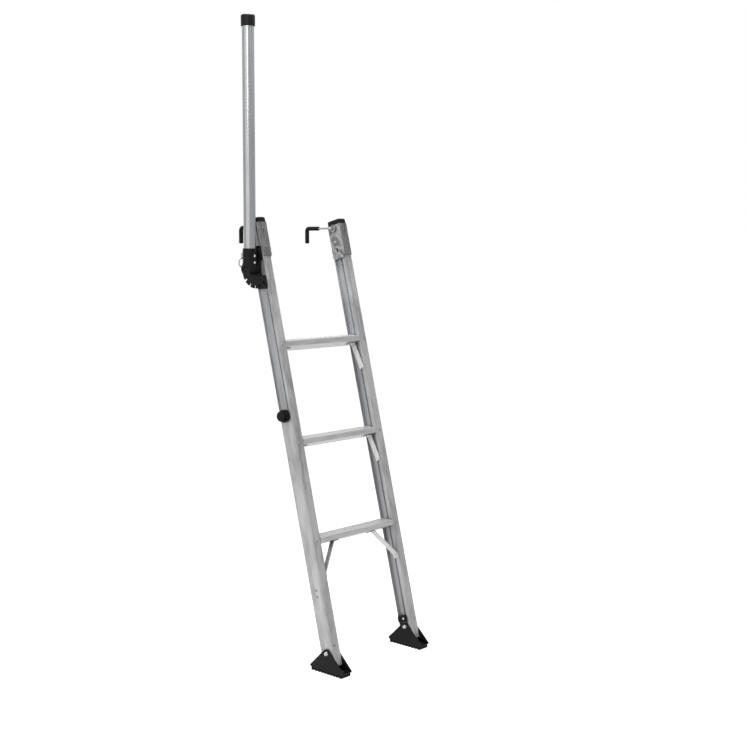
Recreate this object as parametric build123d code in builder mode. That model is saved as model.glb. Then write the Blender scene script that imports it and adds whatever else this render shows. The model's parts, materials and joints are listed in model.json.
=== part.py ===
from build123d import *
import os
from math import cos, radians, sin, tan

os.makedirs("parts", exist_ok=True)

# Truck ladder, standing as it is used: it leans back against a load bed, hooks over its edge
# and has a folding handrail on its left stile. Sizes are in millimetres.
# X runs along the rungs to the right, +Y points at the truck, Z is up.

# Ladder frame
lean = 13.9
clear_width = 338.0
rung_pitch = 310.0
rung_count = 3
bottom_rung_height = 382.0
top_margin = 393.5

# Stile extrusion: a box between two channels with a front lip and a screw groove in the floor
stile_width = 31.0
stile_depth = 52.0
stile_wall = 2.5
stile_corner = 1.5
outer_lip = 2.0
outer_lip_width = 7.5
outer_channel = 5.0
inner_lip_width = 13.0
inner_channel = 9.0
groove_width = 5.0
groove_depth = 3.0
inner_groove_place = -0.5
outer_groove_place = -10.5

# Cover strip in the lower part of the outer channel
strip_insert_gap = 0.5
strip_wall = 2.0
strip_gap = 0.3

# Rungs: a level ribbed tread over a hollow wedge, with a core tube whose ends are tenons
tread_set_back = 0.5
tread_depth = 47.0
tread_above = 11.0
nose_height = 16.5
underside_slope = 23.0
rung_wall = 2.2
tread_rib_count = 8
tread_rib_pitch = 5.4
tread_rib_gap = 2.4
tread_rib_height = 1.0
core_back = 27.0
core_above = -5.0
core_depth = 24.0
core_height = 11.0
core_wall = 2.5
core_web = 2.5
tenon_length = 23.0
tenon_gap = 0.1

# Struts under the rungs
strut_width = 19.0
strut_thickness = 3.0
strut_bend = 5.0
strut_pad = 22.0
strut_foot = 14.0
strut_place = 25.0
strut_rivet_shift = 4.5
lip_rivet_inset = 8.5
long_strut = (74.0, 92.0)
short_strut = (10.0, 76.0)

# Fasteners
rivet_r = 2.4
rivet_head_r = 4.2
rivet_head = 1.6
rivet_crown = 0.6
rivet_seat_r = 3.2
rivet_seat = 0.8
bolt_r = 3.0
bolt_head_r = 4.0
bolt_head = 1.4
bolt_crown = 0.7
fit = 0.05
overcut = 1.0
rung_bolt_place = 17.5
strip_rivet_ups = (216.0, 236.0)
drain_hole_r = 2.5
drain_hole_up = 63.0
drain_hole_place = 20.0

# Feet
foot_pivot_up = 41.0
foot_pivot_height = 64.0
foot_length = 140.0
foot_apex_r = 14.0
foot_corner_height = 15.0
foot_corner_r = 3.0
foot_taper = 6.0
foot_plate = 4.7
foot_gap = 0.3
foot_floor = 5.0
sole_height = 9.0
sole_teeth = 10
sole_groove = 5.0
sole_groove_depth = 4.0
foot_rivet_r = 4.0
foot_rivet_head_r = 7.0
foot_rivet_head = 5.5
sole_screw_place = 50.0
sole_screw_r = 2.0
sole_screw_depth = 9.0

# Plugs in the inner channels above the feet
plug_up = 57.0
plug_height = 21.0
plug_proud = 5.0
plug_corner = 8.0
plug_screw_up = 68.0

# Hook holders, hooks and stile caps
holder_height = 108.5
holder_plate = 3.0
holder_tongue = 8.0
holder_corner = 10.0
holder_slot = (16.0, 6.0)
holder_slot_depth = 1.5
holder_slot_up = 22.0
holder_dome_r = 9.0
holder_dome = 3.0
holder_dome_depth = 8.0
holder_dome_up = 47.0
holder_front_rivets = (27.0, 87.0)
holder_inner_rivets = (39.0, 77.0)
hook_boss_r = 12.0
hook_boss = 6.0
hook_below_top = 12.5
hook_inboard = 19.0
hook_stub = 17.0
hook_rod_r = 3.2
hook_bend = 9.0
hook_reach = 110.0
hook_drop = 47.0
sleeve_start = 56.0
sleeve_r = 7.0
sleeve_tip = 3.0
sleeve_edge = 2.0
retainer_r = 6.5
retainer_thickness = 3.0
cap_height = 16.0
cap_overhang = 0.5
cap_plug = 5.0
cap_corner = 7.0
cap_round = 6.0

# Handrail: a fixed index plate, a socket that turns on it, a pole and a sprung lock pin
rail_pivot_below_top = 141.5
rail_pivot_depth = 14.0
base_plate = 6.0
base_r = 62.0
base_hub_r = 15.0
base_front = -35.0
ear_corner = 6.0
upper_ear = (22.0, 67.0)
lower_ear = (-67.0, -27.0)
base_bolt_ups = (45.0, -34.0)
base_pad_r = 6.4
base_bolt_sink_r = 6.0
pin_back = 30.0
pin_high = 46.0
index_first = 33.1
index_range = 190.0
index_steps = 8
notch_gap = 0.1
turn_gap = 0.3
pivot_r = 5.0
pivot_head_r = 9.0
pivot_head = 2.5
pivot_nut_r = 8.5
pivot_nut = 4.0
nut_inset = 1.0
cup_r = 22.5
cup_high = 64.0
cup_floor = 14.0
cup_edge = 1.5
hub_r = 20.0
hub_end_q = 48.0
cheek = 3.7
socket_rivet_highs = (20.0, 40.0)
pole_r = 19.0
pole_wall = 2.0
pole_length = 756.0
pole_cap_r = 22.0
pole_cap_height = 35.0
pole_cap_top = 5.0
pole_cap_round = 5.0
pole_cap_edge = 1.0
lock_boss_r = 7.5
lock_boss_q = 22.5
lock_guide = 2.5
lock_pocket_r = 5.9
lock_cap = 2.5
lock_pin_r = 4.0
lock_park_gap = 0.5
lock_travel = 5.0
lock_collar_r = 5.6
lock_collar = 1.5
lock_pin_edge = 0.6
tab_q = 31.5
tab_thickness = 3.0
tab_r = 5.5
tab_end_r = 4.8
tab_hole_drop = 12.0
tab_hole_r = 2.4
spring_r = 5.0
spring_wire = 0.8
spring_coils = 3
ring_r = 15.0
ring_wire_r = 2.0
ring_sides = 8

# Hand knob that the folded handrail rests behind
knob_above_rung = 91.0
knob_r = 20.0
knob_body = 13.0
knob_grip_r = 15.5
knob_height = 24.0
knob_gap = 0.6
knob_flutes = 10
knob_flute_r = 3.5
grip_flutes = 16
grip_flute_r = 1.4
stud_r = 5.0
stud_inside = 16.0
stud_outside = 14.0
stud_edge = 0.8
insert_r = 7.0
insert_flange_r = 12.0
insert_length = 10.0
insert_proud = 0.3

# Sizes that follow from the ones above
stile_length = bottom_rung_height + (rung_count - 1) * rung_pitch + top_margin
holder_low = stile_length - holder_height
hook_up = stile_length - hook_below_top
rail_pivot_up = stile_length - rail_pivot_below_top
knob_up = bottom_rung_height + rung_pitch + knob_above_rung
strip_length = knob_up - insert_flange_r - strip_insert_gap
half_depth = stile_depth / 2
inside_depth = stile_depth - 2 * stile_wall
box_start = inner_channel + stile_wall
box_end = stile_width - outer_channel - stile_wall
channel_back = half_depth - stile_wall
inner_opening = channel_back + half_depth - inner_lip_width
inner_middle = channel_back - inner_opening / 2
outer_opening = channel_back + half_depth - outer_lip_width
outer_middle = channel_back - outer_opening / 2
groove_block = groove_depth + stile_wall
inner_x = clear_width / 2
outer_x = inner_x + stile_width
foot_out = foot_gap + foot_plate
floor_top = sole_height + foot_floor
cup_q = base_plate + turn_gap + cup_r
left_reach = outer_x + cup_q + cup_r
right_reach = outer_x + foot_out + foot_rivet_head

lean_sin = sin(radians(lean))
lean_cos = cos(radians(lean))
slope_sin = sin(radians(underside_slope))
slope_cos = cos(radians(underside_slope))
quarter_turn = 90
across = Vector(1, 0, 0)
upward = Vector(0, lean_sin, lean_cos)
backward = Vector(0, lean_cos, -lean_sin)

# The origin is on the ground, under the middle of the object's box
back_reach = (hook_up - foot_pivot_up) * lean_sin + hook_reach + sleeve_r
middle_x = (left_reach - right_reach) / 2
middle_y = (foot_length / 2 - back_reach) / 2
foot_pivot = Vector(middle_x, middle_y, foot_pivot_height)
ladder_base = foot_pivot - upward * foot_pivot_up

hands = (("left", -1), ("right", 1))
on_face = (Align.CENTER, Align.CENTER, Align.MIN)
under_face = (Align.CENTER, Align.CENTER, Align.MAX)


def ladder_point(x, depth, up):
    """A point by its x from the middle, depth to the back and way up the stiles."""
    return ladder_base + across * x + backward * depth + upward * up


def section_plane(up):
    """Across the stiles: local x runs along the rungs, local y to the back."""
    return Plane(origin=ladder_point(0, 0, up), x_dir=across, z_dir=upward)


def side_plane(x, depth=0.0, up=0.0):
    """Along a stile's side: local x runs to the back, local y up, the normal along +X."""
    return Plane(origin=ladder_point(x, depth, up), x_dir=backward, z_dir=across)


def face_plane(normal_side, x, depth, up):
    """On a stile's side, with the normal along +X or -X."""
    return Plane(origin=ladder_point(x, depth, up), x_dir=backward, z_dir=across * normal_side)


def front_plane(x, depth, up):
    """On a front face: local x runs along the rungs, local y up, the normal to the front."""
    return Plane(origin=ladder_point(x, depth, up), x_dir=across, z_dir=backward * -1)


def level_section(point):
    """A level cross section: local x runs along +Y, local y up, the normal along +X."""
    return Plane(origin=point, x_dir=(0, 1, 0), z_dir=(1, 0, 0))


def from_inner(side, distance):
    """X of a place in a stile, by its distance outwards from the inner face."""
    return side * (inner_x + distance)


rail_pivot = ladder_point(-outer_x, rail_pivot_depth, rail_pivot_up)


def rail_plane(q, back=0.0, high=0.0):
    """Level section at the handrail: q outside the left stile, off its pivot by back and high."""
    return level_section(rail_pivot + Vector(-q, back, high))


# Rungs: the front corner that each is placed by, and the middle of its core
rung_names = ("bottom", "middle", "top")
rung_fronts = [ladder_point(0, -half_depth, bottom_rung_height + i * rung_pitch) for i in range(rung_count)]
rung_cores = [front + Vector(0, core_back, core_above) for front in rung_fronts]
core_ups = [(core - ladder_base).dot(upward) for core in rung_cores]
strut_sizes = (long_strut, short_strut, short_strut)
strut_down = Vector(0, -slope_sin, -slope_cos)
strut_back = Vector(0, slope_cos, -slope_sin)


def strut_corner(index, side):
    """Where a rung's underside meets a stile's inner face, at the strut's middle."""
    nose = rung_fronts[index] + Vector(0, tread_set_back, tread_above - nose_height)
    return nose + strut_back * strut_place + across * (side * inner_x)


def strut_stile_rivet(index, side):
    """Place of the rivet through a strut's lower pad and the stile's front lip."""
    low = strut_corner(index, side) + strut_down * (strut_sizes[index][1] + strut_foot / 2)
    up = (low - ladder_base).dot(upward)
    return face_plane(-side, from_inner(side, 0), lip_rivet_inset - half_depth, up)


def strut_rung_rivet(index, side):
    """Place of the rivet through a strut's upper pad and the rung's underside."""
    inboard = strut_sizes[index][0] + strut_pad / 2
    middle = strut_corner(index, side) - strut_back * strut_rivet_shift
    point = middle - across * (side * inboard)
    return Plane(origin=point, x_dir=across, z_dir=strut_down)


def rung_bolt_planes(side, depth):
    """Places of a stile's cross bolts at a given depth."""
    return [front_plane(from_inner(side, rung_bolt_place), depth, up) for up in core_ups]


def strip_rivet_planes(side):
    """Places of the cover strip's rivets on the outer face."""
    return [face_plane(side, from_inner(side, stile_width), 0, up) for up in strip_rivet_ups]


def holder_front_planes(side):
    """Places of the hook holder's rivets on the stile's front face."""
    x = from_inner(side, stile_width / 2)
    return [front_plane(x, -half_depth, holder_low + up) for up in holder_front_rivets]


def holder_inner_planes(side):
    """Places of the hook holder's rivets on the stile's inner lip."""
    x = from_inner(side, 0)
    depth = lip_rivet_inset - half_depth
    return [face_plane(-side, x, depth, holder_low + up) for up in holder_inner_rivets]


def base_bolt_planes(q):
    """Places of the index plate's bolts, q outside the left stile."""
    x = -outer_x - q
    return [face_plane(-1, x, outer_groove_place, rail_pivot_up + up) for up in base_bolt_ups]


# Stiles
for hand, side in hands:
    with BuildPart() as stile:
        with BuildSketch(section_plane(0)):
            with Locations((from_inner(side, stile_width / 2), 0)):
                RectangleRounded(stile_width, stile_depth, stile_corner)
            with Locations((from_inner(side, (stile_wall + inner_channel) / 2), 0)):
                Rectangle(inner_channel - stile_wall, inside_depth, mode=Mode.SUBTRACT)
            with Locations((from_inner(side, (box_start + box_end) / 2), 0)):
                Rectangle(box_end - box_start, inside_depth, mode=Mode.SUBTRACT)
            with Locations((from_inner(side, stile_width - (outer_channel + outer_lip) / 2), 0)):
                Rectangle(outer_channel - outer_lip, inside_depth, mode=Mode.SUBTRACT)
            with Locations((from_inner(side, stile_wall / 2), inner_middle)):
                Rectangle(2 * stile_wall, inner_opening, mode=Mode.SUBTRACT)
            with Locations((from_inner(side, stile_width), outer_middle)):
                Rectangle(3 * outer_lip, outer_opening, mode=Mode.SUBTRACT)
            inner_block = (from_inner(side, inner_channel + groove_block / 2), inner_groove_place)
            outer_floor = stile_width - outer_channel
            outer_block = (from_inner(side, outer_floor - groove_block / 2), outer_groove_place)
            with Locations(inner_block, outer_block):
                Rectangle(groove_block, groove_width + 2 * stile_wall)
            inner_groove = (from_inner(side, inner_channel), inner_groove_place)
            outer_groove = (from_inner(side, outer_floor), outer_groove_place)
            with Locations(inner_groove, outer_groove):
                Rectangle(2 * groove_depth, groove_width, mode=Mode.SUBTRACT)
        extrude(amount=stile_length)
        for core in rung_cores:
            with BuildSketch(level_section(core + across * from_inner(side, 0))):
                Rectangle(core_depth + 2 * tenon_gap, core_height + 2 * tenon_gap)
            extrude(amount=side * (tenon_length + tenon_gap), mode=Mode.SUBTRACT)
        with Locations(*rung_bolt_planes(side, 0)):
            Hole(bolt_r + fit, stile_depth)
        with Locations(side_plane(from_inner(side, 0), 0, foot_pivot_up)):
            Hole(foot_rivet_r + fit, 2 * stile_width)
        with Locations(side_plane(from_inner(side, 0), 0, hook_up)):
            Hole(hook_rod_r + fit, box_start)
        with BuildSketch(side_plane(from_inner(side, box_start), 0, hook_up)):
            Circle(retainer_r + turn_gap)
        extrude(amount=side * groove_depth, mode=Mode.SUBTRACT)
        with Locations(side_plane(from_inner(side, 0), inner_groove_place, plug_screw_up)):
            Hole(rivet_r + fit, box_start)
        with Locations(front_plane(from_inner(side, drain_hole_place), -half_depth, drain_hole_up)):
            Hole(drain_hole_r, stile_wall)
        with Locations(*strip_rivet_planes(side)):
            Hole(rivet_r + fit, outer_channel + stile_wall)
        with Locations(*holder_front_planes(side), *holder_inner_planes(side)):
            Hole(rivet_r + fit, stile_wall)
        with Locations(*[strut_stile_rivet(i, side) for i in range(rung_count)]):
            Hole(rivet_r + fit, stile_wall)
        if side < 0:
            with Locations(side_plane(-outer_x, 0, knob_up)):
                Hole(insert_r + fit, outer_channel + insert_length)
            with Locations(*base_bolt_planes(0)):
                Hole(bolt_r + fit, outer_channel + groove_block)
    stile.part.label = f"{hand}_stile"
    export_step(stile.part, f"parts/{hand}_stile.step")

# Cover strips: shallow channels that lie flush in the stiles' outer channels
for hand, side in hands:
    with BuildPart() as strip:
        with BuildSketch(section_plane(0)):
            strip_width = outer_opening - 2 * strip_gap
            strip_middle = stile_width - outer_channel / 2
            with Locations((from_inner(side, strip_middle), outer_middle)):
                Rectangle(outer_channel, strip_width)
            with Locations((from_inner(side, strip_middle - strip_wall), outer_middle)):
                Rectangle(outer_channel, strip_width - 2 * strip_wall, mode=Mode.SUBTRACT)
        extrude(amount=strip_length)
        with Locations(face_plane(side, from_inner(side, stile_width), 0, foot_pivot_up)):
            Hole(foot_rivet_r + fit, outer_channel)
        with Locations(*strip_rivet_planes(side)):
            Hole(rivet_r + fit, outer_channel)
    strip.part.label = f"{hand}_channel_strip"
    export_step(strip.part, f"parts/{hand}_channel_strip.step")

with BuildPart() as strip_rivets:
    for _, side in hands:
        with Locations(*strip_rivet_planes(side)):
            Cone(rivet_head_r, rivet_head_r * rivet_crown, rivet_head, align=on_face)
            Cylinder(rivet_r, outer_channel + stile_wall + overcut, align=under_face)
strip_rivets.part.label = "strip_rivets"
export_step(strip_rivets.part, "parts/strip_rivets.step")

# Rungs
slope_tan = tan(radians(underside_slope))
slope_wall = rung_wall / slope_cos
back_height = nose_height + tread_depth * slope_tan
tread_plate = rung_wall + tread_rib_height
hollow_front = -nose_height - rung_wall * slope_tan + slope_wall
hollow_back = -back_height + rung_wall * slope_tan + slope_wall
core_place = (core_back - tread_set_back, core_above - tread_above)
core_low = core_place[1] - core_height / 2
web_foot = -nose_height - core_place[0] * slope_tan + slope_wall / 2
for index, name in enumerate(rung_names):
    corner = rung_fronts[index] + Vector(-inner_x, tread_set_back, tread_above)
    with BuildPart() as rung:
        with BuildSketch(level_section(corner)):
            with BuildLine():
                Polyline(
                    (0, 0),
                    (0, -nose_height),
                    (tread_depth, -back_height),
                    (tread_depth, 0),
                    close=True,
                )
            make_face()
            with BuildLine():
                Polyline(
                    (rung_wall, -tread_plate),
                    (rung_wall, hollow_front),
                    (tread_depth - rung_wall, hollow_back),
                    (tread_depth - rung_wall, -tread_plate),
                    close=True,
                )
            make_face(mode=Mode.SUBTRACT)
            with Locations(core_place):
                Rectangle(core_depth, core_height)
            with Locations((core_place[0], core_low)):
                Rectangle(core_web, core_low - web_foot, align=(Align.CENTER, Align.MAX))
            with Locations((tread_depth / 2, 0)):
                with GridLocations(tread_rib_pitch, 1, tread_rib_count, 1):
                    Rectangle(tread_rib_gap, 2 * tread_rib_height, mode=Mode.SUBTRACT)
        extrude(amount=clear_width)
        tenon_plane = level_section(corner - across * tenon_length)
        with BuildSketch(tenon_plane):
            with Locations(core_place):
                Rectangle(core_depth, core_height)
        extrude(amount=clear_width + 2 * tenon_length)
        with BuildSketch(tenon_plane):
            with Locations(core_place):
                Rectangle(core_depth - 2 * core_wall, core_height - 2 * core_wall)
        extrude(amount=clear_width + 2 * tenon_length, mode=Mode.SUBTRACT)
        bolt_places = [front_plane(from_inner(s, rung_bolt_place), 0, core_ups[index]) for _, s in hands]
        with Locations(*bolt_places):
            Hole(bolt_r + fit, stile_depth)
        with Locations(*[strut_rung_rivet(index, s) for _, s in hands]):
            Hole(rivet_r + fit, 2 * rung_wall)
    rung.part.label = f"{name}_rung"
    export_step(rung.part, f"parts/{name}_rung.step")

with BuildPart() as rung_bolts:
    for _, side in hands:
        with Locations(*rung_bolt_planes(side, -half_depth)):
            Cone(bolt_head_r, bolt_head_r * bolt_crown, bolt_head, align=on_face)
            Cylinder(bolt_r, stile_depth, align=under_face)
        with Locations(*rung_bolt_planes(side, half_depth)):
            Cylinder(bolt_head_r, bolt_head, align=under_face)
rung_bolts.part.label = "rung_bolts"
export_step(rung_bolts.part, "parts/rung_bolts.step")

# Struts: flat bars bent to lie on a rung's underside and on a stile's inner lip
for index, name in enumerate(rung_names):
    reach, drop = strut_sizes[index]
    for hand, side in hands:
        bar_plane = Plane(origin=strut_corner(index, side), x_dir=across * -side, z_dir=strut_back * side)
        with BuildPart() as strut:
            with BuildSketch(bar_plane):
                with BuildLine():
                    half = strut_thickness / 2
                    bar = FilletPolyline(
                        (reach + strut_pad, -half),
                        (reach, -half),
                        (half, -drop),
                        (half, -drop - strut_foot),
                        radius=strut_bend,
                    )
                trace(bar, strut_thickness)
            extrude(amount=strut_width / 2, both=True)
            with Locations(strut_stile_rivet(index, side), strut_rung_rivet(index, side)):
                Hole(rivet_r + fit, 2 * strut_thickness)
        strut.part.label = f"{name}_{hand}_strut"
        export_step(strut.part, f"parts/{name}_{hand}_strut.step")

with BuildPart() as strut_rivets:
    for index in range(rung_count):
        for _, side in hands:
            on_stile = (strut_stile_rivet(index, side), stile_wall)
            on_rung = (strut_rung_rivet(index, side), rung_wall)
            for place, grip in (on_stile, on_rung):
                with Locations(place.offset(strut_thickness)):
                    Cone(rivet_head_r, rivet_head_r * rivet_crown, rivet_head, align=on_face)
                    Cylinder(rivet_r, strut_thickness + grip, align=under_face)
strut_rivets.part.label = "strut_rivets"
export_step(strut_rivets.part, "parts/strut_rivets.step")

# Hook holders: corner castings over the stile's front and inner face, with a boss for the hook
for hand, side in hands:
    with BuildPart() as holder:
        with BuildSketch(section_plane(holder_low)):
            front_middle = from_inner(side, (stile_width - holder_plate) / 2)
            with Locations((front_middle, -half_depth - holder_plate / 2)):
                Rectangle(stile_width + holder_plate, holder_plate)
        extrude(amount=holder_height)
        inner_face = from_inner(side, -holder_plate)
        with BuildSketch(side_plane(inner_face, 0, holder_low - holder_tongue)) as inner_plate:
            Rectangle(stile_depth, holder_height + holder_tongue, align=(Align.CENTER, Align.MIN))
            fillet(inner_plate.vertices().sort_by(Axis.Y)[:2], holder_corner)
            with Locations((holder_slot_depth, holder_tongue + holder_slot_up)):
                SlotOverall(*holder_slot, rotation=quarter_turn, mode=Mode.SUBTRACT)
        extrude(amount=side * holder_plate)
        with Locations(face_plane(-side, inner_face, holder_dome_depth, holder_low + holder_dome_up)):
            Cone(holder_dome_r, holder_dome_r * bolt_crown, holder_dome, align=on_face)
        with BuildSketch(side_plane(inner_face, 0, hook_up)):
            Circle(hook_boss_r)
        extrude(amount=-side * hook_boss)
        with Locations(side_plane(from_inner(side, 0), 0, hook_up)):
            Hole(hook_rod_r + fit, hook_boss + 2 * holder_plate)
        with Locations(*holder_front_planes(side), *holder_inner_planes(side)):
            Hole(rivet_r + fit, 2 * holder_plate)
    holder.part.label = f"{hand}_hook_holder"
    export_step(holder.part, f"parts/{hand}_hook_holder.step")

with BuildPart() as holder_rivets:
    for _, side in hands:
        places = holder_front_planes(side) + holder_inner_planes(side)
        with Locations(*[place.offset(holder_plate) for place in places]):
            Cone(rivet_head_r, rivet_head_r * rivet_crown, rivet_head, align=on_face)
            Cylinder(rivet_r, holder_plate + stile_wall, align=under_face)
holder_rivets.part.label = "holder_rivets"
export_step(holder_rivets.part, "parts/holder_rivets.step")

# Hooks: one bent rod each, its drop leg in a closed sleeve, kept in the stile by a push-on ring
for hand, side in hands:
    pivot = ladder_point(from_inner(side, 0), 0, hook_up)
    elbow = pivot - across * (side * hook_inboard)
    shoulder = elbow + Vector(0, hook_reach, 0)
    tip = shoulder - Vector(0, 0, hook_drop)
    stub = pivot + across * (side * hook_stub)
    sleeve_from = elbow + Vector(0, sleeve_start, 0)
    with BuildPart() as hook:
        with BuildLine():
            FilletPolyline(stub, elbow, shoulder, tip, radius=hook_bend)
        with BuildSketch(Plane(origin=stub, z_dir=across * -side)):
            Circle(hook_rod_r)
        sweep()
    hook.part.label = f"{hand}_hook"
    export_step(hook.part, f"parts/{hand}_hook.step")

    with BuildPart() as sleeve:
        with BuildLine() as sleeve_path:
            FilletPolyline(sleeve_from, shoulder, tip - Vector(0, 0, sleeve_tip), radius=hook_bend)
        with BuildSketch(Plane(origin=sleeve_from, z_dir=(0, 1, 0))):
            Circle(sleeve_r)
        sweep()
        with BuildLine() as bore_path:
            FilletPolyline(sleeve_from, shoulder, tip, radius=hook_bend)
        with BuildSketch(Plane(origin=sleeve_from, z_dir=(0, 1, 0))):
            Circle(hook_rod_r + fit)
        sweep(mode=Mode.SUBTRACT)
        chamfer(sleeve.faces().sort_by(Axis.Z)[0].edges(), sleeve_edge)
    sleeve.part.label = f"{hand}_hook_sleeve"
    export_step(sleeve.part, f"parts/{hand}_hook_sleeve.step")

    with BuildPart() as retainer:
        ring_start = inner_channel + stile_wall + turn_gap
        with BuildSketch(side_plane(from_inner(side, ring_start), 0, hook_up)):
            Circle(retainer_r)
            Circle(hook_rod_r + fit, mode=Mode.SUBTRACT)
        extrude(amount=side * retainer_thickness)
    retainer.part.label = f"{hand}_hook_retainer"
    export_step(retainer.part, f"parts/{hand}_hook_retainer.step")

# Caps on the stiles' tops, each with a plug in the stile's box
for hand, side in hands:
    with BuildPart() as cap:
        with BuildSketch(section_plane(stile_length)):
            cap_start = -holder_plate - cap_overhang
            cap_end = stile_width + cap_overhang
            cap_front = -half_depth - holder_plate - cap_overhang
            cap_back = half_depth + cap_overhang
            with Locations((from_inner(side, (cap_start + cap_end) / 2), (cap_front + cap_back) / 2)):
                RectangleRounded(cap_end - cap_start, cap_back - cap_front, cap_corner)
        extrude(amount=cap_height)
        fillet(cap.faces().sort_by(Axis((0, 0, 0), tuple(upward)))[-1].edges(), cap_round)
        with BuildSketch(section_plane(stile_length)):
            with Locations((from_inner(side, (box_start + box_end) / 2), 0)):
                plug_width = box_end - box_start - 2 * groove_depth - 2 * tenon_gap
                Rectangle(plug_width, inside_depth - 2 * tenon_gap)
        extrude(amount=-cap_plug)
    cap.part.label = f"{hand}_top_cap"
    export_step(cap.part, f"parts/{hand}_top_cap.step")

# Feet: level shoes that turn on a rivet, with a toothed rubber sole screwed on from above
sole_length = foot_length - 2 * foot_taper
sole_width = stile_width + 2 * foot_out
for hand, side in hands:
    axis = foot_pivot + across * from_inner(side, 0)
    ground = Vector(axis.X, axis.Y, 0)
    outside = across * (side * (stile_width + foot_out))
    inside = across * (side * -foot_out)
    middle = ground + across * (side * stile_width / 2)
    screw_places = [Plane(middle + Vector(0, y, floor_top)) for y in (-sole_screw_place, sole_screw_place)]
    with BuildPart() as shoe:
        with BuildSketch(level_section(ground + inside)) as plate:
            with Locations((0, foot_pivot_height)):
                Circle(foot_apex_r)
            corner_y = foot_length / 2 - foot_corner_r
            with Locations((-corner_y, foot_corner_height), (corner_y, foot_corner_height)):
                Circle(foot_corner_r)
            with Locations((0, sole_height)):
                Rectangle(sole_length, foot_floor, align=(Align.CENTER, Align.MIN))
            make_hull()
        extrude(amount=side * sole_width)
        with BuildSketch(level_section(ground - across * (side * foot_gap))):
            with Locations((0, floor_top)):
                Rectangle(2 * foot_length, 2 * foot_length, align=(Align.CENTER, Align.MIN))
        extrude(amount=side * (stile_width + 2 * foot_gap), mode=Mode.SUBTRACT)
        with Locations(level_section(axis)):
            Hole(foot_rivet_r + fit, 2 * stile_width)
        with Locations(*screw_places):
            Hole(sole_screw_r + fit, floor_top)
    shoe.part.label = f"{hand}_foot_shoe"
    export_step(shoe.part, f"parts/{hand}_foot_shoe.step")

    with BuildPart() as sole:
        with BuildSketch(level_section(ground + inside)):
            with Locations((0, 0)):
                Rectangle(sole_length, sole_height, align=(Align.CENTER, Align.MIN))
            with GridLocations(sole_length / sole_teeth, 1, sole_teeth - 1, 1):
                Rectangle(sole_groove, 2 * sole_groove_depth, mode=Mode.SUBTRACT)
        extrude(amount=side * sole_width)
        with Locations(*screw_places):
            Hole(sole_screw_r + fit, sole_screw_depth)
    sole.part.label = f"{hand}_foot_tread"
    export_step(sole.part, f"parts/{hand}_foot_tread.step")

    with BuildPart() as screws:
        with Locations(*screw_places):
            Cone(2 * sole_screw_r, 2 * sole_screw_r * bolt_crown, rivet_head, align=on_face)
            Cylinder(sole_screw_r, sole_screw_depth, align=under_face)
    screws.part.label = f"{hand}_tread_screws"
    export_step(screws.part, f"parts/{hand}_tread_screws.step")

    with BuildPart() as foot_rivet:
        with BuildSketch(level_section(axis + inside)):
            Circle(foot_rivet_r)
        extrude(amount=side * sole_width)
        for place, normal in ((axis + outside, side), (axis + inside, -side)):
            with Locations(Plane(origin=place, x_dir=(0, 1, 0), z_dir=across * normal)):
                Cone(foot_rivet_head_r, foot_rivet_head_r * rivet_crown, foot_rivet_head, align=on_face)
    foot_rivet.part.label = f"{hand}_foot_rivet"
    export_step(foot_rivet.part, f"parts/{hand}_foot_rivet.step")

# Plugs that close the inner channels just above the feet
plug_places = []
for _, side in hands:
    plug_face = from_inner(side, -plug_proud)
    plug_places.append(face_plane(-side, plug_face, inner_groove_place, plug_screw_up))
for hand, side in hands:
    with BuildPart() as plug:
        plug_plane = side_plane(from_inner(side, -plug_proud), inner_middle, plug_up)
        with BuildSketch(plug_plane) as plug_outline:
            Rectangle(inner_opening - 2 * tenon_gap, plug_height, align=(Align.CENTER, Align.MIN))
            fillet(plug_outline.vertices().sort_by(Axis.Y)[-2:], plug_corner)
        extrude(amount=side * (plug_proud + inner_channel))
        with Locations(side_plane(from_inner(side, 0), inner_groove_place, plug_screw_up)):
            Hole(rivet_r + fit, inner_channel)
    plug.part.label = f"{hand}_channel_plug"
    export_step(plug.part, f"parts/{hand}_channel_plug.step")

with BuildPart() as plug_screws:
    with Locations(*plug_places):
        Cone(rivet_head_r, rivet_head_r * rivet_crown, rivet_head, align=on_face)
        Cylinder(rivet_r, plug_proud + inner_channel + stile_wall, align=under_face)
plug_screws.part.label = "plug_screws"
export_step(plug_screws.part, "parts/plug_screws.step")

# Handrail base: an index plate whose notches the lock pin drops into, bolted on through two ears
notch_r = (pin_back**2 + pin_high**2) ** 0.5
notch_start = quarter_turn - (index_first + index_range - lean)
with BuildPart() as base:
    with BuildSketch(side_plane(-outer_x - base_plate, rail_pivot_depth, rail_pivot_up)):
        Circle(base_r)
        with Locations((-base_hub_r, 0)):
            Rectangle(base_r, 3 * base_r, align=(Align.MAX, Align.CENTER), mode=Mode.SUBTRACT)
        for low, high in (upper_ear, lower_ear):
            with Locations((base_front / 2, (low + high) / 2)):
                RectangleRounded(-base_front, high - low, ear_corner)
        with PolarLocations(notch_r, index_steps + 1, notch_start, index_range, endpoint=True):
            Circle(lock_pin_r + notch_gap, mode=Mode.SUBTRACT)
            Rectangle(
                base_r - notch_r + overcut,
                2 * (lock_pin_r + notch_gap),
                align=(Align.MIN, Align.CENTER),
                mode=Mode.SUBTRACT,
            )
    extrude(amount=base_plate)
    with Locations(*base_bolt_planes(0)):
        Cylinder(base_pad_r, outer_channel, align=under_face)
    with Locations(*base_bolt_planes(base_plate)):
        CounterSinkHole(bolt_r + fit, base_bolt_sink_r, base_plate + outer_channel)
    with Locations(rail_plane(0)):
        Hole(pivot_r + fit, 2 * base_plate)
        Hole(pivot_head_r + fit, pivot_head)
base.part.label = "handrail_base"
export_step(base.part, "parts/handrail_base.step")

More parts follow.
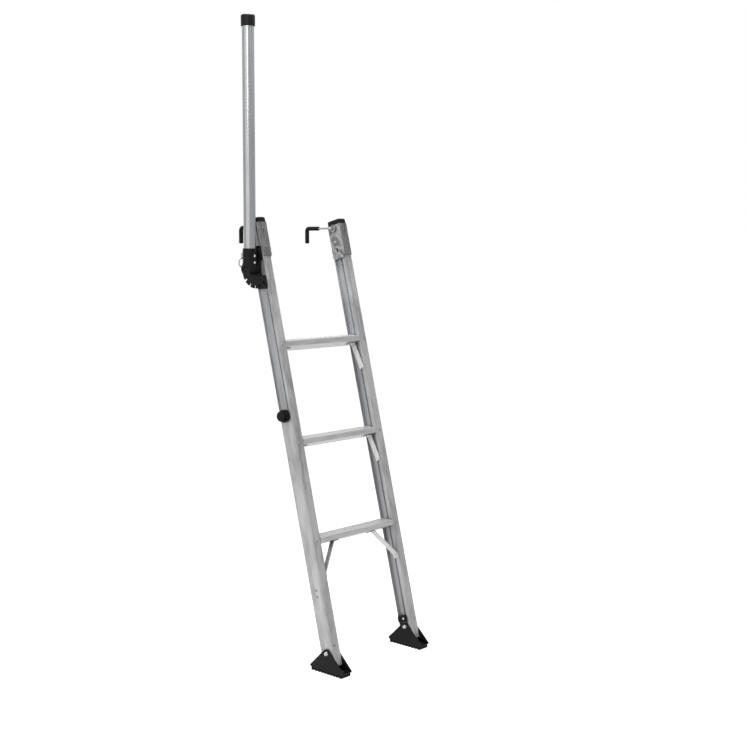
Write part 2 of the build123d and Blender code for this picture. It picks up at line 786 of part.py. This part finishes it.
with BuildPart() as base_bolts:
    with Locations(*base_bolt_planes(base_plate)):
        bolt_length = base_plate + outer_channel + stile_wall + 2 * overcut
        sink = base_bolt_sink_r - bolt_r
        Cylinder(bolt_r, bolt_length, align=under_face)
        Cone(bolt_r, base_bolt_sink_r - fit, sink - fit, align=under_face)
base_bolts.part.label = "base_bolts"
export_step(base_bolts.part, "parts/base_bolts.step")

with BuildPart() as pivot_bolt:
    with BuildSketch(rail_plane(0)):
        Circle(pivot_head_r)
    extrude(amount=-pivot_head)
    with BuildSketch(rail_plane(0)):
        Circle(pivot_r)
    extrude(amount=nut_inset - hub_end_q)
    with BuildSketch(rail_plane(hub_end_q - nut_inset)):
        RegularPolygon(pivot_nut_r, 6)
    extrude(amount=pivot_nut)
pivot_bolt.part.label = "handrail_pivot_bolt"
export_step(pivot_bolt.part, "parts/handrail_pivot_bolt.step")

# Handrail socket: a cup for the pole, a hub on the pivot bolt, a cheek and the lock pin's boss
cheek_q = base_plate + turn_gap
nut_sink = pivot_nut + nut_inset + turn_gap
cup_axis = Plane(rail_pivot + Vector(-cup_q, 0, 0))
with BuildPart() as socket:
    with BuildSketch(cup_axis):
        Circle(cup_r)
    extrude(amount=cup_high)
    chamfer(socket.faces().sort_by(Axis.Z)[-1].edges(), cup_edge)
    with BuildSketch(rail_plane(hub_end_q)):
        Circle(hub_r)
    extrude(amount=hub_end_q - cheek_q)
    with BuildSketch(rail_plane(cheek_q + cheek)):
        Circle(hub_r)
        with Locations((pin_back, pin_high)):
            Circle(lock_boss_r)
        with Locations((lock_boss_r - cup_r, cup_high - lock_boss_r)):
            Circle(lock_boss_r)
        make_hull()
    extrude(amount=cheek)
    with BuildSketch(rail_plane(lock_boss_q)):
        with Locations((pin_back, pin_high)):
            Circle(lock_boss_r)
            Rectangle(pin_back, 2 * lock_boss_r, align=(Align.MAX, Align.CENTER))
    extrude(amount=lock_boss_q - cheek_q)
    with BuildSketch(cup_axis.offset(cup_floor)):
        Circle(pole_r + fit)
    extrude(amount=cup_high, mode=Mode.SUBTRACT)
    with Locations(rail_plane(0)):
        Hole(pivot_r + fit, 2 * hub_end_q)
    with Locations(rail_plane(hub_end_q)):
        Hole(pivot_nut_r + turn_gap, nut_sink)
    with Locations(rail_plane(0, pin_back, pin_high)):
        Hole(lock_pin_r + fit, lock_boss_q)
    with Locations(rail_plane(lock_boss_q, pin_back, pin_high)):
        Hole(lock_pocket_r + fit, lock_boss_q - cheek_q - lock_guide)
    rivet_places = []
    for high in socket_rivet_highs:
        place = rail_pivot + Vector(-cup_q, -cup_r, high)
        rivet_places.append(Plane(origin=place, x_dir=(1, 0, 0), z_dir=(0, -1, 0)))
    with Locations(*rivet_places):
        Hole(rivet_r + fit, cup_r / 2)
        Hole(rivet_seat_r + fit, rivet_seat)
socket.part.label = "handrail_socket"
export_step(socket.part, "parts/handrail_socket.step")

with BuildPart() as socket_rivets:
    with Locations(*rivet_places):
        Cone(rivet_head_r, rivet_head_r * rivet_crown, rivet_head, align=on_face)
        Cylinder(rivet_r, cup_r - pole_r + pole_wall + overcut, align=under_face)
        Cylinder(rivet_seat_r, rivet_seat, align=under_face)
socket_rivets.part.label = "socket_rivets"
export_step(socket_rivets.part, "parts/socket_rivets.step")

pole_foot = cup_axis.offset(cup_floor)
with BuildPart() as pole:
    with BuildSketch(pole_foot):
        Circle(pole_r)
        Circle(pole_r - pole_wall, mode=Mode.SUBTRACT)
    extrude(amount=pole_length)
    with Locations(*rivet_places):
        Hole(rivet_r + fit, cup_r / 2)
pole.part.label = "handrail_pole"
export_step(pole.part, "parts/handrail_pole.step")

with BuildPart() as pole_cap:
    cap_foot = pole_foot.offset(pole_length + pole_cap_top - pole_cap_height)
    with BuildSketch(cap_foot):
        Circle(pole_cap_r)
    extrude(amount=pole_cap_height)
    fillet(pole_cap.faces().sort_by(Axis.Z)[-1].edges(), pole_cap_round)
    chamfer(pole_cap.faces().sort_by(Axis.Z)[0].edges(), pole_cap_edge)
    with BuildSketch(cap_foot):
        Circle(pole_r + fit)
    extrude(amount=pole_cap_height - pole_cap_top, mode=Mode.SUBTRACT)
pole_cap.part.label = "pole_cap"
export_step(pole_cap.part, "parts/pole_cap.step")

# Lock pin, drawn back by its travel: a plunger with a collar for the spring and a tab for the ring
pin_tip_q = base_plate + lock_park_gap
pocket_q = cheek_q + lock_guide
collar_q = pocket_q + fit + lock_travel + lock_collar
tab_end_q = tab_q + tab_thickness
with BuildPart() as lock_pin:
    with BuildSketch(rail_plane(tab_end_q, pin_back, pin_high)):
        Circle(lock_pin_r)
    extrude(amount=tab_end_q - pin_tip_q)
    chamfer(lock_pin.faces().sort_by(Axis.X)[-1].edges(), lock_pin_edge)
    with BuildSketch(rail_plane(collar_q, pin_back, pin_high)):
        Circle(lock_collar_r)
    extrude(amount=lock_collar)
    with BuildSketch(rail_plane(tab_end_q, pin_back, pin_high)):
        Circle(tab_r)
        with Locations((0, -tab_hole_drop)):
            Circle(tab_end_r)
        make_hull()
        with Locations((0, -tab_hole_drop)):
            Circle(tab_hole_r, mode=Mode.SUBTRACT)
    extrude(amount=tab_thickness)
lock_pin.part.label = "lock_pin"
export_step(lock_pin.part, "parts/lock_pin.step")

with BuildPart() as lock_cap_ring:
    with BuildSketch(rail_plane(lock_boss_q, pin_back, pin_high)):
        Circle(lock_pocket_r)
        Circle(lock_pin_r + fit, mode=Mode.SUBTRACT)
    extrude(amount=lock_cap)
lock_cap_ring.part.label = "lock_cap"
export_step(lock_cap_ring.part, "parts/lock_cap.step")

# The spring is drawn pressed together between the pin's collar and the cap
spring_room = lock_boss_q - lock_cap - collar_q
spring_height = spring_room - spring_wire - 2 * fit
spring_end = rail_pivot + Vector(lock_cap + spring_wire / 2 + fit - lock_boss_q, pin_back, pin_high)
with BuildPart() as spring:
    with BuildLine() as coil:
        coil_pitch = spring_height / spring_coils
        Helix(coil_pitch, spring_height, spring_r, center=spring_end, direction=across)
    with BuildSketch(Plane(origin=coil.line @ 0, x_dir=across, z_dir=coil.line % 0)):
        Rectangle(spring_wire, spring_wire)
    sweep(is_frenet=True)
spring.part.label = "lock_spring"
export_step(spring.part, "parts/lock_spring.step")

ring_center = rail_pivot + Vector(-(tab_q + tab_thickness / 2), pin_back, pin_high - tab_hole_drop - ring_r)
with BuildPart() as ring:
    with BuildSketch(Plane(ring_center)):
        with Locations((ring_r, 0)):
            RegularPolygon(ring_wire_r, ring_sides)
    revolve(axis=Axis(tuple(ring_center), (0, 1, 0)))
ring.part.label = "pull_ring"
export_step(ring.part, "parts/pull_ring.step")

# Knob: a fluted body with a ribbed end, on a stud in a flanged insert
with BuildPart() as insert:
    with BuildSketch(side_plane(-outer_x - insert_proud, 0, knob_up)):
        Circle(insert_flange_r)
    extrude(amount=outer_channel + insert_proud)
    with BuildSketch(side_plane(-outer_x + outer_channel, 0, knob_up)):
        Circle(insert_r)
    extrude(amount=insert_length)
    with Locations(side_plane(-outer_x, 0, knob_up)):
        Hole(stud_r + fit, 2 * stile_width)
insert.part.label = "knob_insert"
export_step(insert.part, "parts/knob_insert.step")

with BuildPart() as stud:
    with BuildSketch(side_plane(-outer_x - stud_outside, 0, knob_up)):
        Circle(stud_r)
    extrude(amount=stud_outside + stud_inside)
    chamfer(stud.faces().sort_by(Axis.X)[-1].edges(), stud_edge)
stud.part.label = "knob_stud"
export_step(stud.part, "parts/knob_stud.step")

with BuildPart() as knob:
    with BuildSketch(side_plane(-outer_x - knob_gap, 0, knob_up)):
        Circle(knob_r)
        with PolarLocations(knob_r + knob_flute_r / 2, knob_flutes):
            Circle(knob_flute_r, mode=Mode.SUBTRACT)
    extrude(amount=-knob_body)
    with BuildSketch(side_plane(-outer_x - knob_gap - knob_body, 0, knob_up)):
        Circle(knob_grip_r)
        with PolarLocations(knob_grip_r + grip_flute_r / 2, grip_flutes):
            Circle(grip_flute_r, mode=Mode.SUBTRACT)
    extrude(amount=-(knob_height - knob_gap - knob_body))
    with Locations(side_plane(-outer_x, 0, knob_up)):
        Hole(stud_r + fit, stud_outside)
knob.part.label = "knob"
export_step(knob.part, "parts/knob.step")
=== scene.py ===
import json
from math import cos, radians, sin

import bpy
from mathutils import Matrix, Vector

# Truck ladder: procedural finishes, studio light and the photograph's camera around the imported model.
# All lengths are in metres, in the model's own frame.

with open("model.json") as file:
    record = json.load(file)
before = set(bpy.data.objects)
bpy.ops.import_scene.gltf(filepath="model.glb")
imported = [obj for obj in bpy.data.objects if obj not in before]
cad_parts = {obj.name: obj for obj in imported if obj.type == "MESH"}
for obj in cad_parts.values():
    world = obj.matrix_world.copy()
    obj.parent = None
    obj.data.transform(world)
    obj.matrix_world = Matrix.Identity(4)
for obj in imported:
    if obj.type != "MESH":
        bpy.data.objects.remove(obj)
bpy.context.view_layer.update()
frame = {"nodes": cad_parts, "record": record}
nodes = frame["nodes"]

# The stiles' lean, the ladder's middle along X, the stiles' sides from there, and a recess's least depth
STILE_LEAN = radians(13.9)
LADDER_MIDDLE = 0.0204
STILE_INNER = 0.169
STILE_OUTER = 0.2
RECESS_DEPTH = 0.003

# Camera: place and direction found from the photograph, with the focal length in its pixels
IMAGE_WIDTH = 747
FOCAL_PIXELS = 1254.2
CAMERA_PLACE = Vector((-2.8631, -2.7982, 1.3246))
CAMERA_YAW = radians(47.905)
CAMERA_PITCH = radians(6.018)
CAMERA_ROLL = radians(0.109)
SENSOR_WIDTH = 36.0

# Numbers of a Mix node's colour sockets, whose names other types share
MIX_FACTOR = 0
MIX_FIRST = 6
MIX_SECOND = 7
MIX_RESULT = 2

# Samples of softened edges and of corners
BEVEL_SAMPLES = 4
CORNER_SAMPLES = 8

# Cosine between a face's own and its softened normal, where an edge begins and where it is full
EDGE_BEGINS = 0.99
EDGE_FULL = 0.85

# Upward and sideways parts of a normal from which a face counts as facing there
UP_BEGINS = 0.6
UP_FULL = 0.9
SIDEWAYS = 0.7

WHITE = (1.0, 1.0, 1.0, 1.0)


# Node helpers

def new_material(name):
    """An empty node material with a Principled shader on its output."""
    material = bpy.data.materials.new(name)
    material.use_nodes = True
    tree = material.node_tree
    tree.nodes.clear()
    shader = tree.nodes.new("ShaderNodeBsdfPrincipled")
    output = tree.nodes.new("ShaderNodeOutputMaterial")
    tree.links.new(shader.outputs["BSDF"], output.inputs["Surface"])
    return material, tree, shader


def feed(tree, socket, value):
    """Links an output to a socket, or sets a plain value on it."""
    if isinstance(value, bpy.types.NodeSocket):
        tree.links.new(value, socket)
    else:
        socket.default_value = value


def grain(tree, scale, stretch=(1, 1, 1), turn=(0, 0, 0), detail=4.0, roughness=0.55, swirl=0.0):
    """Noise in the object's own coordinates, stretched along turned axes."""
    place = tree.nodes.new("ShaderNodeTexCoord")
    turned = tree.nodes.new("ShaderNodeMapping")
    turned.inputs["Rotation"].default_value = turn
    stretched = tree.nodes.new("ShaderNodeMapping")
    stretched.inputs["Scale"].default_value = stretch
    noise = tree.nodes.new("ShaderNodeTexNoise")
    noise.inputs["Scale"].default_value = scale
    noise.inputs["Detail"].default_value = detail
    noise.inputs["Roughness"].default_value = roughness
    noise.inputs["Distortion"].default_value = swirl
    tree.links.new(place.outputs["Object"], turned.inputs["Vector"])
    tree.links.new(turned.outputs["Vector"], stretched.inputs["Vector"])
    tree.links.new(stretched.outputs["Vector"], noise.inputs["Vector"])
    return noise.outputs["Fac"]


def drawn_out(along, share):
    """Stretch of a noise whose features are long in one direction."""
    return tuple(share if axis == along else 1.0 for axis in "xyz")


def span(tree, source, low, high, to_low=0.0, to_high=1.0):
    """Maps a range of a value to another, clamped."""
    node = tree.nodes.new("ShaderNodeMapRange")
    feed(tree, node.inputs["Value"], source)
    node.inputs["From Min"].default_value = low
    node.inputs["From Max"].default_value = high
    node.inputs["To Min"].default_value = to_low
    node.inputs["To Max"].default_value = to_high
    return node.outputs["Result"]


def combined(tree, operation, first, second):
    """One arithmetic step on two values."""
    node = tree.nodes.new("ShaderNodeMath")
    node.operation = operation
    feed(tree, node.inputs[0], first)
    feed(tree, node.inputs[1], second)
    return node.outputs[0]


def shade(tone, colour):
    """A colour made lighter or darker, with full alpha."""
    return (colour[0] * tone, colour[1] * tone, colour[2] * tone, 1.0)


def mixed(tree, factor, first, second):
    """Colour between two colours."""
    node = tree.nodes.new("ShaderNodeMix")
    node.data_type = "RGBA"
    feed(tree, node.inputs[MIX_FACTOR], factor)
    feed(tree, node.inputs[MIX_FIRST], first)
    feed(tree, node.inputs[MIX_SECOND], second)
    return node.outputs[MIX_RESULT]


def laid_over(tree, base, colour, noise, low, high, share):
    """A colour laid over another where a noise is high, up to a share."""
    return mixed(tree, span(tree, noise, low, high, 0.0, share), base, colour)


def masked_over(tree, base, colour, mask, share):
    """A share of a colour laid over another where a mask is 1."""
    return mixed(tree, combined(tree, "MULTIPLY", mask, share), base, colour)


def rounded_edges(tree, radius):
    """Normal with softened edges, and a mask that is 1 on them."""
    bevel = tree.nodes.new("ShaderNodeBevel")
    bevel.samples = BEVEL_SAMPLES
    bevel.inputs["Radius"].default_value = radius
    geometry = tree.nodes.new("ShaderNodeNewGeometry")
    dot = tree.nodes.new("ShaderNodeVectorMath")
    dot.operation = "DOT_PRODUCT"
    tree.links.new(bevel.outputs["Normal"], dot.inputs[0])
    tree.links.new(geometry.outputs["Normal"], dot.inputs[1])
    return bevel.outputs["Normal"], span(tree, dot.outputs["Value"], EDGE_BEGINS, EDGE_FULL)


def corner_shade_and_dust(tree, reach, open_to=0.95, closed_to=0.35):
    """A mask that is 1 in corners and grooves: painted shade on metal and castings, dust on plastic."""
    node = tree.nodes.new("ShaderNodeAmbientOcclusion")
    node.samples = CORNER_SAMPLES
    node.inputs["Distance"].default_value = reach
    return span(tree, node.outputs["AO"], open_to, closed_to)


def geometry_axis(tree, output, axis):
    """One coordinate of a normal or of the place on the surface."""
    geometry = tree.nodes.new("ShaderNodeNewGeometry")
    parts = tree.nodes.new("ShaderNodeSeparateXYZ")
    tree.links.new(geometry.outputs[output], parts.inputs["Vector"])
    return parts.outputs[axis]


def facing_up(tree):
    """A mask that is 1 on surfaces that face upwards."""
    return span(tree, geometry_axis(tree, "Normal", "Z"), UP_BEGINS, UP_FULL)


def facing_side(tree):
    """A mask that is 1 on surfaces that face along the rungs."""
    across = combined(tree, "ABSOLUTE", geometry_axis(tree, "True Normal", "X"), 0.0)
    return combined(tree, "GREATER_THAN", across, SIDEWAYS)


def shaded_channel_floor(tree):
    """A mask that is 1 on the stiles' recessed side faces, where shade is painted on the channel floors."""
    from_middle = combined(tree, "SUBTRACT", geometry_axis(tree, "Position", "X"), LADDER_MIDDLE)
    distance = combined(tree, "ABSOLUTE", from_middle, 0.0)
    behind_inner = combined(tree, "GREATER_THAN", distance, STILE_INNER + RECESS_DEPTH)
    behind_outer = combined(tree, "LESS_THAN", distance, STILE_OUTER - RECESS_DEPTH)
    inside = combined(tree, "MULTIPLY", behind_inner, behind_outer)
    return combined(tree, "MULTIPLY", inside, facing_side(tree))


def bumped(tree, height, strength, distance, normal):
    """Normal with a small relief on it."""
    node = tree.nodes.new("ShaderNodeBump")
    node.inputs["Strength"].default_value = strength
    node.inputs["Distance"].default_value = distance
    feed(tree, node.inputs["Height"], height)
    feed(tree, node.inputs["Normal"], normal)
    return node.outputs["Normal"]


def dress(tree, shader, tone, gloss, normal):
    """Gives a shader its colour, roughness and normal."""
    feed(tree, shader.inputs["Base Color"], tone)
    feed(tree, shader.inputs["Roughness"], gloss)
    feed(tree, shader.inputs["Normal"], normal)


# Kinds of finish

# Scale along the extrusion, against 1 across it, of features from very long to longish
LONGEST = 0.012
LONG = 0.14
LONGISH = 0.25


def aluminium(name, colour, metallic, roughness, along, turn, marks, shade_reach=0.007, shade_depth=0.3,
              tops_worn_and_lit=0.0, edge=0.0006, edge_wear_and_highlight=0.2):
    """Extruded aluminium: lines and streaks along the extrusion, painted shade in channel floors and
    corners, upward faces lighter from wear and painted light, edges lighter from wear and a painted
    highlight.
    """
    material, tree, shader = new_material(name)
    cool = (colour[0] * 0.95, colour[1] * 0.975, colour[2] * 1.03)
    lines = grain(tree, scale=420.0, stretch=drawn_out(along, LONGEST), turn=turn, detail=5.0)
    bands = grain(tree, scale=110.0, stretch=drawn_out(along, LONGEST), turn=turn, detail=2.0)
    streaks = grain(tree, scale=130.0, stretch=drawn_out(along, LONG), turn=turn, detail=3.0)
    clouds = grain(tree, scale=22.0, stretch=drawn_out(along, LONGISH), turn=turn)
    specks = grain(tree, scale=160.0, detail=6.0, roughness=0.7)
    recess = corner_shade_and_dust(tree, shade_reach, 0.9, 0.45)
    normal, edges = rounded_edges(tree, edge)
    tone = mixed(tree, span(tree, lines, 0.3, 0.7), shade(0.84, colour), shade(1.14, colour))
    tone = laid_over(tree, tone, shade(0.72, cool), bands, low=0.4, high=0.62, share=0.7 * marks)
    tone = laid_over(tree, tone, shade(0.62, colour), streaks, low=0.45, high=0.6, share=0.9 * marks)
    tone = laid_over(tree, tone, shade(1.2, colour), clouds, low=0.46, high=0.64, share=0.8 * marks)
    tone = laid_over(tree, tone, shade(0.55, colour), specks, low=0.64, high=0.74, share=0.5 * marks)
    # Upward faces lighter: partly tread wear, partly painted light from above.
    tone = masked_over(tree, tone, shade(1.55, colour), facing_up(tree), share=tops_worn_and_lit)
    # Painted shade: the stiles' recessed channel floors darker and cooler.
    tone = masked_over(tree, tone, shade(0.8, cool), shaded_channel_floor(tree), share=0.5)
    # Painted shade: corners and grooves darkened towards a cool dark grey.
    tone = masked_over(tree, tone, shade(0.3, cool), recess, share=shade_depth)
    # Edges lighter: partly wear, partly a painted highlight along rounded edges.
    tone = masked_over(tree, tone, shade(1.5, colour), edges, share=edge_wear_and_highlight)
    gloss = span(tree, lines, 0.25, 0.75, roughness - 0.07, roughness + 0.08)
    gloss = combined(tree, "ADD", gloss, span(tree, clouds, 0.3, 0.7, -0.04, 0.05))
    dress(tree, shader, tone, gloss, bumped(tree, lines, strength=0.25, distance=0.0002, normal=normal))
    shader.inputs["Metallic"].default_value = metallic
    return material


def casting(name, colour, metallic):
    """Die-cast grey: a grainy skin, bright swirls of painted highlight on the side faces, painted shade in
    corners and lighter edges from wear.
    """
    material, tree, shader = new_material(name)
    skin = grain(tree, scale=900.0, detail=3.0)
    clouds = grain(tree, scale=55.0, stretch=(1, 1, 0.5))
    # Painted highlight: bright swirls laid only on the faces that face sideways.
    side_highlight_swirls = combined(tree, "MULTIPLY", grain(tree, scale=20.0, detail=1.0, swirl=2.2), facing_side(tree))
    normal, edges = rounded_edges(tree, 0.001)
    tone = mixed(tree, span(tree, clouds, 0.36, 0.64), shade(0.7, colour), shade(1.3, colour))
    tone = laid_over(tree, tone, shade(2.4, colour), side_highlight_swirls, low=0.4, high=0.6, share=0.85)
    tone = laid_over(tree, tone, shade(0.75, colour), skin, low=0.45, high=0.7, share=0.25)
    # Painted shade: corners and grooves darkened.
    tone = masked_over(tree, tone, shade(0.35, colour), corner_shade_and_dust(tree, 0.008), share=0.6)
    tone = masked_over(tree, tone, shade(1.6, colour), edges, share=0.5)
    gloss = span(tree, side_highlight_swirls, 0.35, 0.65, 0.55, 0.42)
    dress(tree, shader, tone, gloss, bumped(tree, skin, strength=0.2, distance=0.0003, normal=normal))
    shader.inputs["Metallic"].default_value = metallic
    return material


def moulded(name, colour, roughness, grain_size, relief, sheen):
    """Black plastic or rubber: a fine moulded grain, greyer rubbed edges and dust in corners."""
    material, tree, shader = new_material(name)
    skin = grain(tree, scale=1.0 / grain_size, detail=3.0)
    clouds = grain(tree, scale=30.0, detail=5.0, roughness=0.65)
    normal, edges = rounded_edges(tree, 0.0012)
    dusty = span(tree, clouds, 0.4, 0.7, 0.0, 0.4)
    rubbed = span(tree, clouds, 0.35, 0.65, 0.15, 0.75)
    tone = mixed(tree, span(tree, clouds, 0.3, 0.7), shade(0.75, colour), shade(1.35, colour))
    tone = laid_over(tree, tone, shade(1.5, colour), skin, low=0.5, high=0.7, share=0.4)
    tone = masked_over(tree, tone, DUST, corner_shade_and_dust(tree, 0.008), share=dusty)
    tone = masked_over(tree, tone, shade(3.2, colour), edges, share=rubbed)
    gloss = span(tree, clouds, 0.3, 0.7, roughness - 0.08, roughness + 0.1)
    dress(tree, shader, tone, gloss, bumped(tree, skin, strength=0.4, distance=relief, normal=normal))
    shader.inputs["Specular IOR Level"].default_value = sheen
    return material


def plated(name, colour, tarnish, roughness, metallic=0.8):
    """Zinc-plated steel: crystalline blotches, a faint warm tarnish and fine scratches."""
    material, tree, shader = new_material(name)
    blotches = grain(tree, scale=260.0, detail=2.0)
    clouds = grain(tree, scale=60.0)
    scratches = grain(tree, scale=900.0, stretch=(1.0, 0.06, 0.06), turn=(0.4, 0.2, 0.9), detail=2.0)
    normal, edges = rounded_edges(tree, 0.0005)
    tone = mixed(tree, span(tree, blotches, 0.35, 0.65), shade(0.86, colour), shade(1.1, colour))
    tone = laid_over(tree, tone, shade(1.0, tarnish), clouds, low=0.5, high=0.75, share=0.5)
    tone = masked_over(tree, tone, shade(1.25, colour), edges, share=0.5)
    gloss = span(tree, scratches, 0.35, 0.7, roughness - 0.06, roughness + 0.12)
    dress(tree, shader, tone, gloss, bumped(tree, scratches, strength=0.2, distance=0.0001, normal=normal))
    shader.inputs["Metallic"].default_value = metallic
    return material


# Finishes of the material slots, and two more for fasteners

LEANING = (STILE_LEAN, 0.0, 0.0)
LEVEL = (0.0, 0.0, 0.0)
STILE_GREY = (0.48, 0.481, 0.484)
STRIP_GREY = (0.545, 0.54, 0.535)
RUNG_GREY = (0.55, 0.548, 0.545)
STRUT_GREY = (0.76, 0.76, 0.755)
POLE_GREY = (0.33, 0.335, 0.34)
CAST_GREY = (0.175, 0.175, 0.178)
PLASTIC_BLACK = (0.006, 0.006, 0.0065)
RUBBER_BLACK = (0.007, 0.007, 0.007)
DUST = (0.05, 0.048, 0.045, 1.0)

recipes = {
    # Stiles: deeper painted shade in corners; edges lighter from wear and a painted highlight.
    "stile_aluminium": (aluminium, dict(
        colour=STILE_GREY, metallic=0.35, roughness=0.4, along="z", turn=LEANING, marks=1.0,
        shade_depth=0.5, edge=0.0015, edge_wear_and_highlight=0.35)),
    "strip_aluminium": (aluminium, dict(
        colour=STRIP_GREY, metallic=0.4, roughness=0.42, along="z", turn=LEANING, marks=0.8)),
    # Rungs: upward faces lighter, partly wear, partly painted light from above.
    "rung_aluminium": (aluminium, dict(
        colour=RUNG_GREY, metallic=0.45, roughness=0.4, along="x", turn=LEVEL, marks=0.45,
        tops_worn_and_lit=1.0, edge=0.001)),
    # Struts: strong painted shade reaching far into the corners by the stiles and rungs.
    "strut_aluminium": (aluminium, dict(
        colour=STRUT_GREY, metallic=0.4, roughness=0.4, along="z", turn=LEVEL, marks=0.4,
        shade_reach=0.06, shade_depth=1.0)),
    # Pole: faint painted shade in corners.
    "pole_aluminium": (aluminium, dict(
        colour=POLE_GREY, metallic=0.7, roughness=0.2, along="z", turn=LEVEL, marks=0.2,
        shade_depth=0.1)),
    "holder_casting": (casting, dict(colour=CAST_GREY, metallic=0.45)),
    "black_plastic": (moulded, dict(
        colour=PLASTIC_BLACK, roughness=0.42, grain_size=0.0011, relief=0.0002, sheen=0.13)),
    "black_rubber": (moulded, dict(
        colour=RUBBER_BLACK, roughness=0.6, grain_size=0.0007, relief=0.0003, sheen=0.1)),
    "hook_steel": (plated, dict(
        colour=(0.3, 0.3, 0.31), tarnish=(0.26, 0.24, 0.2), roughness=0.36)),
    "fastener_steel": (plated, dict(
        colour=(0.5, 0.5, 0.505), tarnish=(0.42, 0.4, 0.35), roughness=0.34)),
    "dark_steel": (plated, dict(
        colour=(0.11, 0.11, 0.112), tarnish=(0.09, 0.08, 0.07), roughness=0.45)),
    "bolt_steel": (plated, dict(
        colour=(0.26, 0.26, 0.262), tarnish=(0.22, 0.2, 0.17), roughness=0.42)),
    "black_steel": (plated, dict(
        colour=(0.012, 0.012, 0.012), tarnish=(0.016, 0.014, 0.012), roughness=0.5)),
    "ring_steel": (plated, dict(
        colour=(0.5, 0.5, 0.51), tarnish=(0.42, 0.4, 0.34), roughness=0.3)),
}
finishes = {name: make(name, **values) for name, (make, values) in recipes.items()}

# Fasteners that take after what they hold: cast grey, dull grey in the stiles and black in the pivot
own_finish = {
    "holder_rivets": "holder_casting",
    "rung_bolts": "bolt_steel",
    "strip_rivets": "bolt_steel",
    "base_bolts": "black_steel",
    "handrail_pivot_bolt": "black_steel",
}

for subpart in frame["record"]["subparts"]:
    mesh = nodes[subpart["node"]].data
    mesh.materials.clear()
    mesh.materials.append(finishes[own_finish.get(subpart["node"], subpart["material_slot"])])


# Floor, world and lamps

def seen_directly(tree):
    """1 for rays from the camera, a mirror or glass, which see the background as white."""
    path = tree.nodes.new("ShaderNodeLightPath")
    seen = combined(tree, "MAXIMUM", path.outputs["Is Camera Ray"], path.outputs["Is Glossy Ray"])
    return combined(tree, "MAXIMUM", seen, path.outputs["Is Transmission Ray"])


def chosen(tree, output, plain, seen):
    """Puts one shader on an output for the light's own paths and another for rays that see it."""
    choice = tree.nodes.new("ShaderNodeMixShader")
    tree.links.new(seen_directly(tree), choice.inputs["Fac"])
    tree.links.new(plain, choice.inputs[1])
    tree.links.new(seen, choice.inputs[2])
    tree.links.new(choice.outputs["Shader"], output.inputs["Surface"])


def matt(tree, level):
    """A plain grey diffuse shader."""
    node = tree.nodes.new("ShaderNodeBsdfDiffuse")
    node.inputs["Color"].default_value = (level, level, level, 1.0)
    return node.outputs["BSDF"]


def make_floor(size, pale, seen_pale, glow):
    """A pale floor that looks white, apart from the shadow on it."""
    half = size / 2
    mesh = bpy.data.meshes.new("floor")
    corners = [(-half, -half, 0), (half, -half, 0), (half, half, 0), (-half, half, 0)]
    mesh.from_pydata(corners, [], [(0, 1, 2, 3)])
    floor = bpy.data.objects.new("floor", mesh)
    bpy.context.scene.collection.objects.link(floor)
    material, tree, shader = new_material("floor_pale")
    tree.nodes.remove(shader)
    white = tree.nodes.new("ShaderNodeEmission")
    white.inputs["Strength"].default_value = glow
    bright = tree.nodes.new("ShaderNodeAddShader")
    tree.links.new(matt(tree, seen_pale), bright.inputs[0])
    tree.links.new(white.outputs["Emission"], bright.inputs[1])
    chosen(tree, tree.nodes["Material Output"], matt(tree, pale), bright.outputs["Shader"])
    mesh.materials.append(material)


def plain_sky(tree, strength):
    """A white background shader."""
    node = tree.nodes.new("ShaderNodeBackground")
    node.inputs["Color"].default_value = WHITE
    node.inputs["Strength"].default_value = strength
    return node.outputs["Background"]


def make_world(level):
    """Soft light from all round, seen as plain white."""
    world = bpy.data.worlds.new("studio")
    bpy.context.scene.world = world
    world.use_nodes = True
    tree = world.node_tree
    tree.nodes.clear()
    output = tree.nodes.new("ShaderNodeOutputWorld")
    chosen(tree, output, plain_sky(tree, level), plain_sky(tree, 1.0))


def make_lamp(name, place, target, width, height, watts):
    """A soft box that faces its target."""
    data = bpy.data.lights.new(name, "AREA")
    data.shape = "RECTANGLE"
    data.size = width
    data.size_y = height
    data.energy = watts
    lamp = bpy.data.objects.new(name, data)
    bpy.context.scene.collection.objects.link(lamp)
    aim = Vector(target) - Vector(place)
    lamp.rotation_euler = aim.to_track_quat("-Z", "Y").to_euler()
    lamp.location = place


make_floor(size=60.0, pale=0.85, seen_pale=0.75, glow=0.86)
make_world(level=0.2)
lamps = {
    "key_box": dict(place=(-2.7, -0.4, 2.1), target=(-0.1, 0.05, 1.3), width=3.4, height=2.4, watts=26.0),
    "pole_strip": dict(place=(-2.47, -1.19, 2.35), target=(-0.23, 0, 1.9), width=0.3, height=0.7, watts=9.5),
    "overhead": dict(place=(-0.6, 0.4, 3.6), target=(0, 0, 0.8), width=2.4, height=2.4, watts=46.0),
    "inner_top": dict(place=(-0.12, 0.1, 2.3), target=(0.15, 0.05, 1.2), width=0.3, height=0.3, watts=11.0),
}
for name, values in lamps.items():
    make_lamp(name, **values)


# Camera

def camera_matrix(place, yaw, pitch, roll):
    """The camera's axes from its compass direction, downward tilt and roll."""
    forward = Vector((sin(yaw) * cos(pitch), cos(yaw) * cos(pitch), -sin(pitch)))
    level = Vector((cos(yaw), -sin(yaw), 0.0))
    above = level.cross(forward)
    right = level * cos(roll) + above * sin(roll)
    up = above * cos(roll) - level * sin(roll)
    axes = Matrix((right, up, -forward)).transposed().to_4x4()
    return Matrix.Translation(place) @ axes


lens = bpy.data.cameras.new("photo_camera")
lens.sensor_fit = "HORIZONTAL"
lens.sensor_width = SENSOR_WIDTH
lens.lens = FOCAL_PIXELS / IMAGE_WIDTH * SENSOR_WIDTH
camera = bpy.data.objects.new("photo_camera", lens)
bpy.context.scene.collection.objects.link(camera)
camera.matrix_world = camera_matrix(CAMERA_PLACE, CAMERA_YAW, CAMERA_PITCH, CAMERA_ROLL)
bpy.context.scene.camera = camera
bpy.context.scene.view_settings.view_transform = "Standard"
